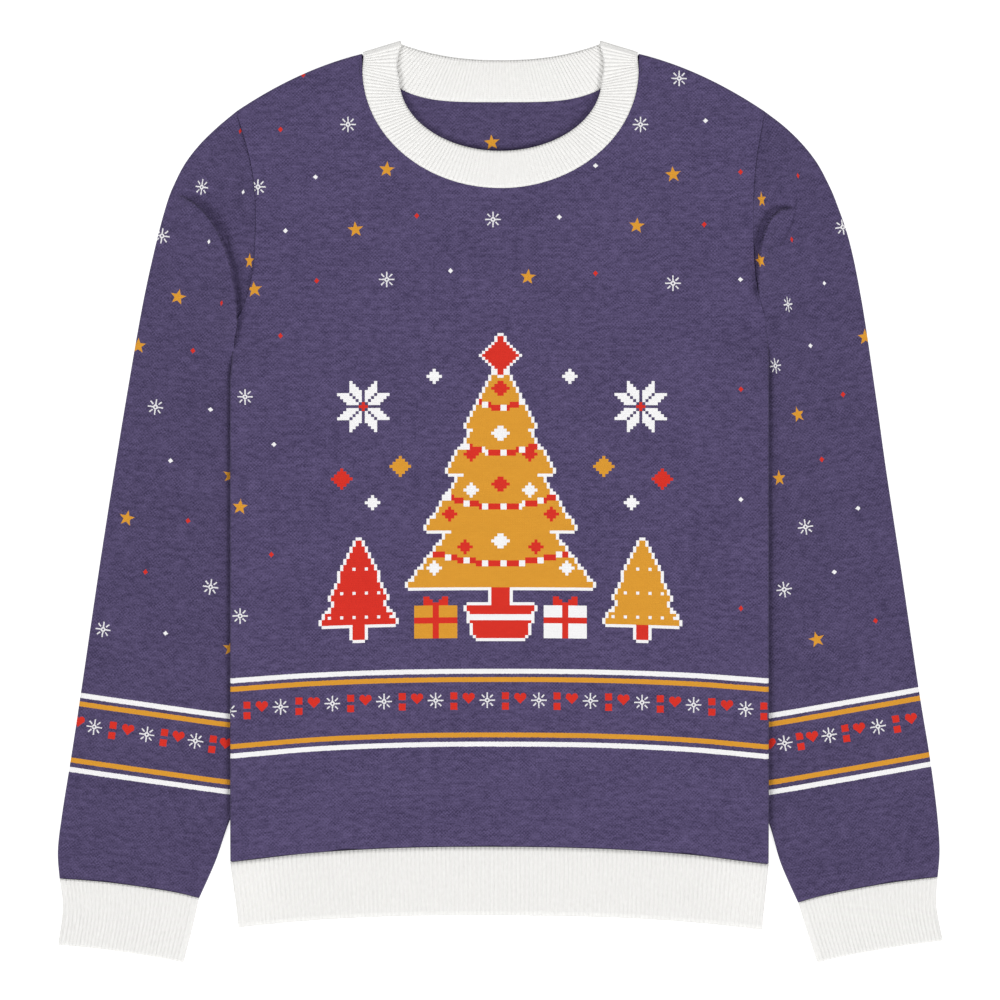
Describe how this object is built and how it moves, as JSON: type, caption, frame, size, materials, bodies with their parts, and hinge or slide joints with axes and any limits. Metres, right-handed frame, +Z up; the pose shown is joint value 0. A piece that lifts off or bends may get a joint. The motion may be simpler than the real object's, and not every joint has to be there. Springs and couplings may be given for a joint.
{
  "type": "knitted christmas sweater",
  "caption": "Adult crew-neck Christmas sweater in purple jacquard knit with white ribbed bands, laid flat with its sleeves down.",
  "frame": {"origin": "middle of the bounding box in the plan, on the table that the sweater lies on", "axes": "+Y from hem to neck, +X to the picture's right, +Z up out of the front of the sweater"},
  "size_m": [0.7088, 0.739, 0.0115],
  "materials": {
    "front_knit": "matte purple birdseye jacquard with gold, white and red motifs",
    "back_knit": "matte purple birdseye jacquard with small gold, white and red motifs",
    "sleeve_left_knit": "matte purple birdseye jacquard with small gold, white and red motifs",
    "sleeve_right_knit": "matte purple birdseye jacquard with small gold, white and red motifs",
    "rib_knit": "matte off-white ribbed knit"
  },
  "bodies": {
    "root": {"front_panel": "front_knit", "back_panel": "back_knit", "sleeve_left": "sleeve_left_knit", "sleeve_right": "sleeve_right_knit", "hem_rib_front": "rib_knit", "hem_rib_back": "rib_knit", "cuff_left": "rib_knit", "cuff_right": "rib_knit", "neckband": "rib_knit"}
  },
  "joints": []
}
